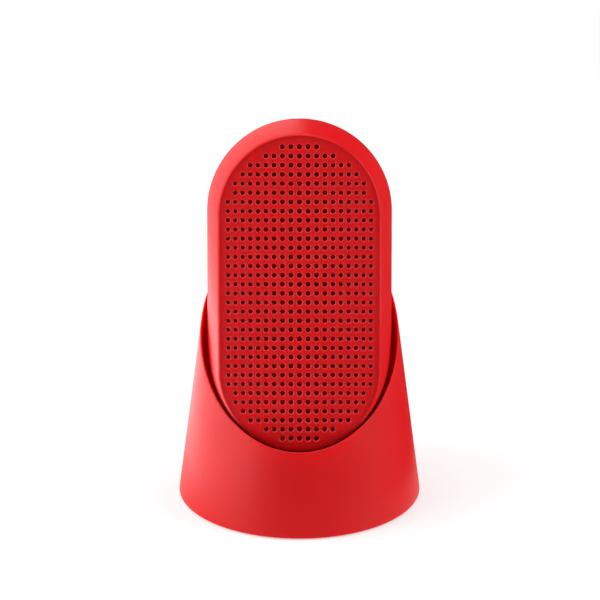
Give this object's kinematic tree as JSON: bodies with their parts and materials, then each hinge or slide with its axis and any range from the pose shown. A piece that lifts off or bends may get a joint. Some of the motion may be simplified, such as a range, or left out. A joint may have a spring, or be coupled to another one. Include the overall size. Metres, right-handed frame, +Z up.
{
  "type": "portable speaker with desk stand",
  "caption": "Capsule-shaped pocket speaker with a perforated front, leaning back in a conical desk stand that it lifts out of; press keys and a charging socket on the back.",
  "frame": {"origin": "middle of the stand's underside, on the surface it stands on", "axes": "+Z up, -Y the way the speaker's front faces, X across the front"},
  "size_m": [0.066, 0.066, 0.1055],
  "materials": {
    "red_plastic": "soft-touch matte",
    "dark_plastic": "matte",
    "dark_cloth": "woven",
    "black_rubber": "matte",
    "cone_paper": "pressed paper",
    "steel": "satin",
    "ferrite": "ground",
    "copper": "wound wire",
    "cell_wrap": "shrink wrap",
    "foam": "foam",
    "board_green": "solder mask",
    "tin": "plated",
    "clear_plastic": "clear"
  },
  "bodies": {
    "stand": {"stand_shell": "red_plastic", "cradle": "red_plastic", "seat_pad": "black_rubber", "ballast": "steel", "base_plate": "dark_plastic", "foot_pad": "black_rubber", "base_screw_1": "steel", "base_screw_2": "steel", "base_screw_3": "steel"},
    "speaker": {"front_shell": "red_plastic", "front_grille": "red_plastic", "acoustic_cloth": "dark_cloth", "baffle": "dark_plastic", "case_screw_1": "steel", "case_screw_2": "steel", "case_screw_3": "steel", "case_screw_4": "steel", "driver_gasket": "foam", "driver_basket": "dark_plastic", "driver_terminal": "tin", "top_plate": "steel", "magnet": "ferrite", "yoke": "steel", "spider": "cone_paper", "surround": "black_rubber", "driver_screw_1": "steel", "driver_screw_2": "steel", "driver_screw_3": "steel", "driver_screw_4": "steel", "rear_shell": "red_plastic", "case_seal": "black_rubber", "battery": "cell_wrap", "battery_pad": "foam", "battery_lead": "black_rubber", "pcb": "board_green", "pcb_screw_1": "steel", "pcb_screw_2": "steel", "pcb_screw_3": "steel", "pcb_screw_4": "steel", "radio_module": "tin", "battery_connector": "clear_plastic", "speaker_connector": "clear_plastic", "speaker_lead": "black_rubber", "usb_socket": "tin", "switch_minus": "dark_plastic", "switch_play": "dark_plastic", "switch_plus": "dark_plastic", "led": "clear_plastic", "light_pipe": "clear_plastic"},
    "diaphragm": {"speaker_cone": "cone_paper", "dust_cap": "cone_paper", "voice_coil": "copper"},
    "button_minus": {"button_minus": "red_plastic"},
    "button_play": {"button_play": "red_plastic"},
    "button_plus": {"button_plus": "red_plastic"}
  },
  "joints": [
    {"name": "speaker_lift", "type": "slide", "parent": "stand", "child": "speaker", "axis": [0, 0.225, 0.9744], "range_m": [0, 0.1]},
    {"name": "button_minus_press", "type": "slide", "parent": "speaker", "child": "button_minus", "axis": [0, -0.9744, 0.225], "range_m": [0, 0.0005], "stiffness_N_per_m": 2000},
    {"name": "button_play_press", "type": "slide", "parent": "speaker", "child": "button_play", "axis": [0, -0.9744, 0.225], "range_m": [0, 0.0005], "stiffness_N_per_m": 2000},
    {"name": "button_plus_press", "type": "slide", "parent": "speaker", "child": "button_plus", "axis": [0, -0.9744, 0.225], "range_m": [0, 0.0005], "stiffness_N_per_m": 2000},
    {"name": "diaphragm_stroke", "type": "slide", "parent": "speaker", "child": "diaphragm", "axis": [0, -0.9744, 0.225], "range_m": [-0.0012, 0.0012], "stiffness_N_per_m": 1500, "deforming": ["surround", "spider"]}
  ]
}
